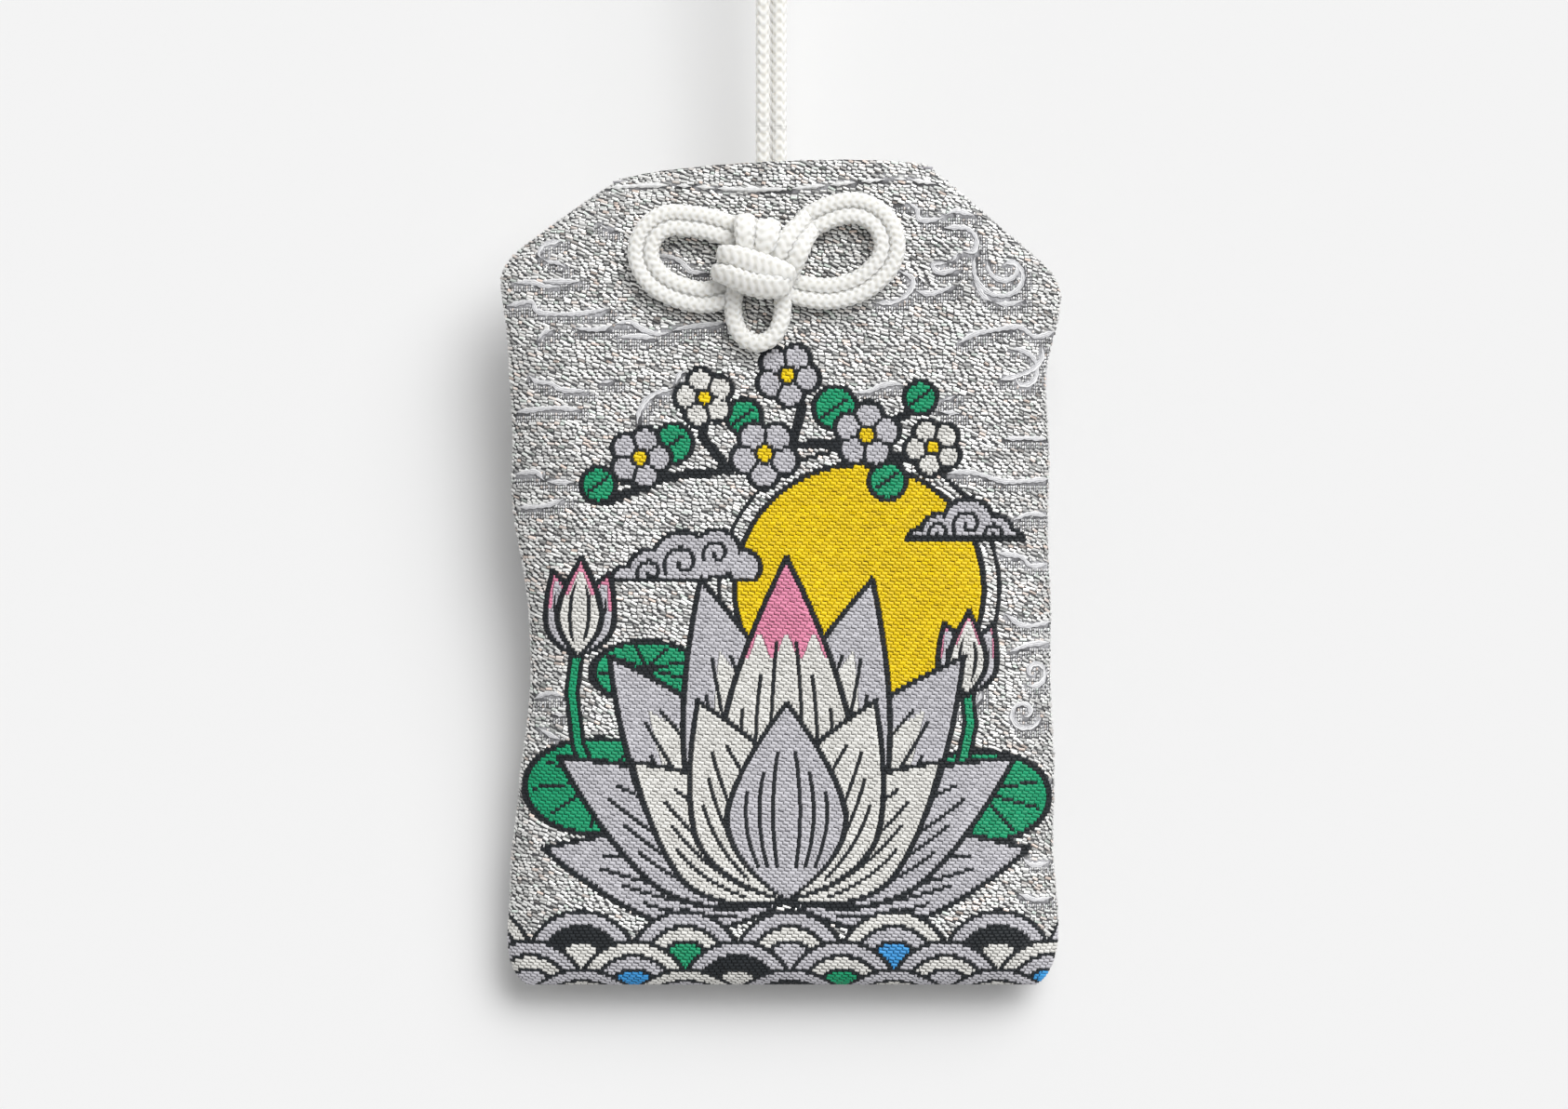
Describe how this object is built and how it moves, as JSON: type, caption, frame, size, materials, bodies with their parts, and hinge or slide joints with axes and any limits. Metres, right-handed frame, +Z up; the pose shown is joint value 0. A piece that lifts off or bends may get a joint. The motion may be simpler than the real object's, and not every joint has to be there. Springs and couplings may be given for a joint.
{
  "type": "amulet pouch",
  "caption": "Flat brocade amulet pouch with slanted shoulders, tied at the neck by a braided cord in a doubled bow-like knot, hanging on the cord's loop.",
  "frame": {"origin": "inside of the hanging loop's top, where a hook or pin carries the cord", "axes": "+Z up along the hanging cord, the front with the knot faces -Y, +X to the right seen from the front"},
  "size_m": [0.054, 0.0096, 0.131],
  "materials": {
    "brocade": "silver metallic weave with pale lavender cloud lines and a woven picture in coloured silk",
    "cord": "matt white braid",
    "thread": "pale sewing thread",
    "interlining": "soft unwoven backing",
    "paper": "uncoated white paper",
    "board": "plain thin board"
  },
  "bodies": {
    "cord_loop": {"hanging_loop": "cord"},
    "cord_neck": {"neck_strand_left": "cord", "neck_strand_right": "cord"},
    "pouch": {"front_panel": "brocade", "back_panel": "brocade", "left_corner_fold": "brocade", "right_corner_fold": "brocade", "front_interlining": "interlining", "back_interlining": "interlining", "seam_thread": "thread", "tail_strand_left": "cord", "tail_strand_right": "cord", "knot_top_wrap_left": "cord", "knot_top_wrap_right": "cord", "knot_right_wrap_inner": "cord", "knot_right_wrap_outer": "cord", "knot_lower_wrap_upper": "cord", "knot_lower_wrap_lower": "cord"},
    "left_ear": {"left_ear_outer_strand": "cord", "left_ear_inner_strand": "cord"},
    "right_ear": {"right_ear_outer_strand": "cord", "right_ear_inner_strand": "cord"},
    "small_loop": {"bottom_loop": "cord"},
    "charm_packet": {"charm_wrapper": "paper", "talisman_slip": "paper", "charm_board": "board"}
  },
  "joints": [
    {"name": "pouch_turn", "type": "hinge", "parent": "cord_loop", "child": "cord_neck", "pos_m": [0, 0, -0.0465], "axis": [0, 0, 1], "range_deg": [-180, 180]},
    {"name": "pouch_tilt", "type": "hinge", "parent": "cord_neck", "child": "pouch", "pos_m": [0, -0.00103, -0.05], "axis": [-1, 0, 0], "range_deg": [-25, 90]},
    {"name": "left_ear_lift", "type": "hinge", "parent": "pouch", "child": "left_ear", "pos_m": [-0.0047, -0.00617, -0.0593], "axis": [0, 0, 1], "range_deg": [0, 60], "stiffness_Nm_per_rad": 0.0005},
    {"name": "right_ear_lift", "type": "hinge", "parent": "pouch", "child": "right_ear", "pos_m": [0.0039, -0.00617, -0.0593], "axis": [0, 0, -1], "range_deg": [0, 60], "stiffness_Nm_per_rad": 0.0005},
    {"name": "small_loop_lift", "type": "hinge", "parent": "pouch", "child": "small_loop", "pos_m": [-0.0012, -0.00646, -0.06335], "axis": [-1, 0, 0], "range_deg": [0, 70], "stiffness_Nm_per_rad": 0.0005},
    {"name": "charm_slide", "type": "slide", "parent": "pouch", "child": "charm_packet", "axis": [0, 0, 1], "range_m": [0, 0.004]}
  ]
}
